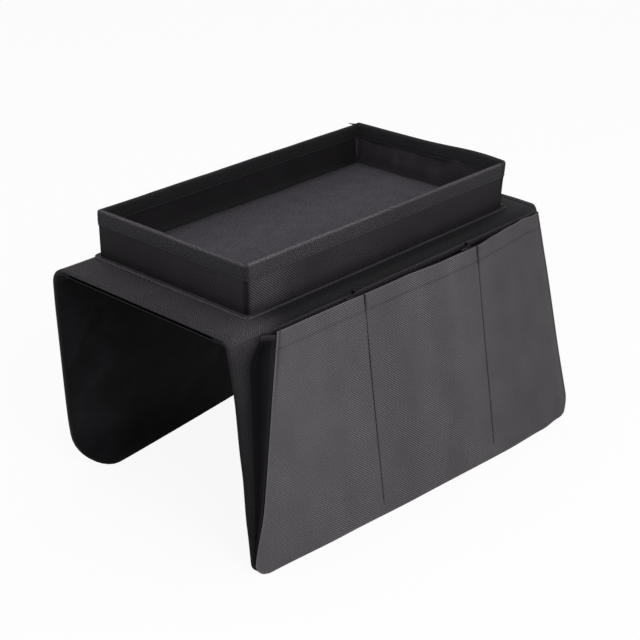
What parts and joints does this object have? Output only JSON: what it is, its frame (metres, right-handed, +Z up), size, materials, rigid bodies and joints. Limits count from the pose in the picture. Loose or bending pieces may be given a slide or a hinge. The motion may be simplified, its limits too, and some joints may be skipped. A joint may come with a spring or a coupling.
{
  "type": "sofa arm tray",
  "caption": "Cloth organizer for a sofa's arm: a boarded saddle with a boxed tray sewn on top, a folding near flap with pleated pockets and a plain folding far flap.",
  "frame": {"origin": "the middle of the saddle's underside, where it rests on the sofa's arm", "axes": "+X along the arm, +Y from the pocket side to the far side, +Z up"},
  "size_m": [0.388, 0.272, 0.2302],
  "materials": {
    "oxford_cloth": "black twill-backed oxford, slightly glossy threads",
    "pocket_cloth": "charcoal twill oxford, semi-matte",
    "lining_cloth": "thin smooth black lining",
    "binding_tape": "folded and stitched black oxford",
    "brushed_mat": "short brushed nap, dark grey",
    "stiffening_board": "plain thin board, hidden"
  },
  "bodies": {
    "root": {"saddle_cover": "oxford_cloth", "saddle_board": "stiffening_board", "saddle_lining": "lining_cloth", "saddle_hem_left": "binding_tape", "saddle_hem_right": "binding_tape", "near_fold_cloth": "oxford_cloth", "far_fold_cloth": "oxford_cloth", "tray_floor_board": "stiffening_board", "tray_floor_mat": "brushed_mat", "tray_board_near": "stiffening_board", "tray_board_far": "stiffening_board", "tray_board_left": "stiffening_board", "tray_board_right": "stiffening_board", "tray_outer_cloth": "oxford_cloth", "tray_inner_cloth": "lining_cloth", "tray_rim_binding": "binding_tape", "tray_welt": "oxford_cloth"},
    "near_flap": {"near_flap_face": "oxford_cloth", "near_flap_board": "stiffening_board", "near_flap_lining": "lining_cloth", "near_flap_hem": "binding_tape", "gusset_left": "oxford_cloth", "pleat_left": "oxford_cloth", "pleat_right": "oxford_cloth"},
    "far_flap": {"far_flap_face": "oxford_cloth", "far_flap_board": "stiffening_board", "far_flap_lining": "lining_cloth", "far_flap_hem": "binding_tape"},
    "pocket_left": {"pocket_left": "pocket_cloth", "mouth_hem_left": "pocket_cloth"},
    "pocket_middle": {"pocket_middle": "pocket_cloth", "mouth_hem_middle": "pocket_cloth"},
    "pocket_right": {"pocket_right": "pocket_cloth", "mouth_hem_right": "pocket_cloth"}
  },
  "joints": [
    {"name": "near_fold", "type": "hinge", "parent": "root", "child": "near_flap", "pos_m": [0, -0.1019, 0], "axis": [-1, 0, 0], "range_deg": [-92, 80], "deforming": ["near_fold_cloth"]},
    {"name": "far_fold", "type": "hinge", "parent": "root", "child": "far_flap", "pos_m": [0, 0.1019, 0], "axis": [1, 0, 0], "range_deg": [-15, 90], "deforming": ["far_fold_cloth"]},
    {"name": "pocket_left_mouth", "type": "hinge", "parent": "near_flap", "child": "pocket_left", "pos_m": [-0.126, -0.13833, -0.183], "axis": [1, 0, 0], "range_deg": [0, 4], "deforming": ["gusset_left", "pleat_left"]},
    {"name": "pocket_middle_mouth", "type": "hinge", "parent": "near_flap", "child": "pocket_middle", "pos_m": [0.008, -0.1462, -0.183], "axis": [1, 0, 0], "range_deg": [0, 4], "deforming": ["pleat_right"]},
    {"name": "pocket_right_mouth", "type": "hinge", "parent": "near_flap", "child": "pocket_right", "pos_m": [0.135, -0.1538, -0.183], "axis": [1, 0, 0], "range_deg": [0, 4]}
  ]
}
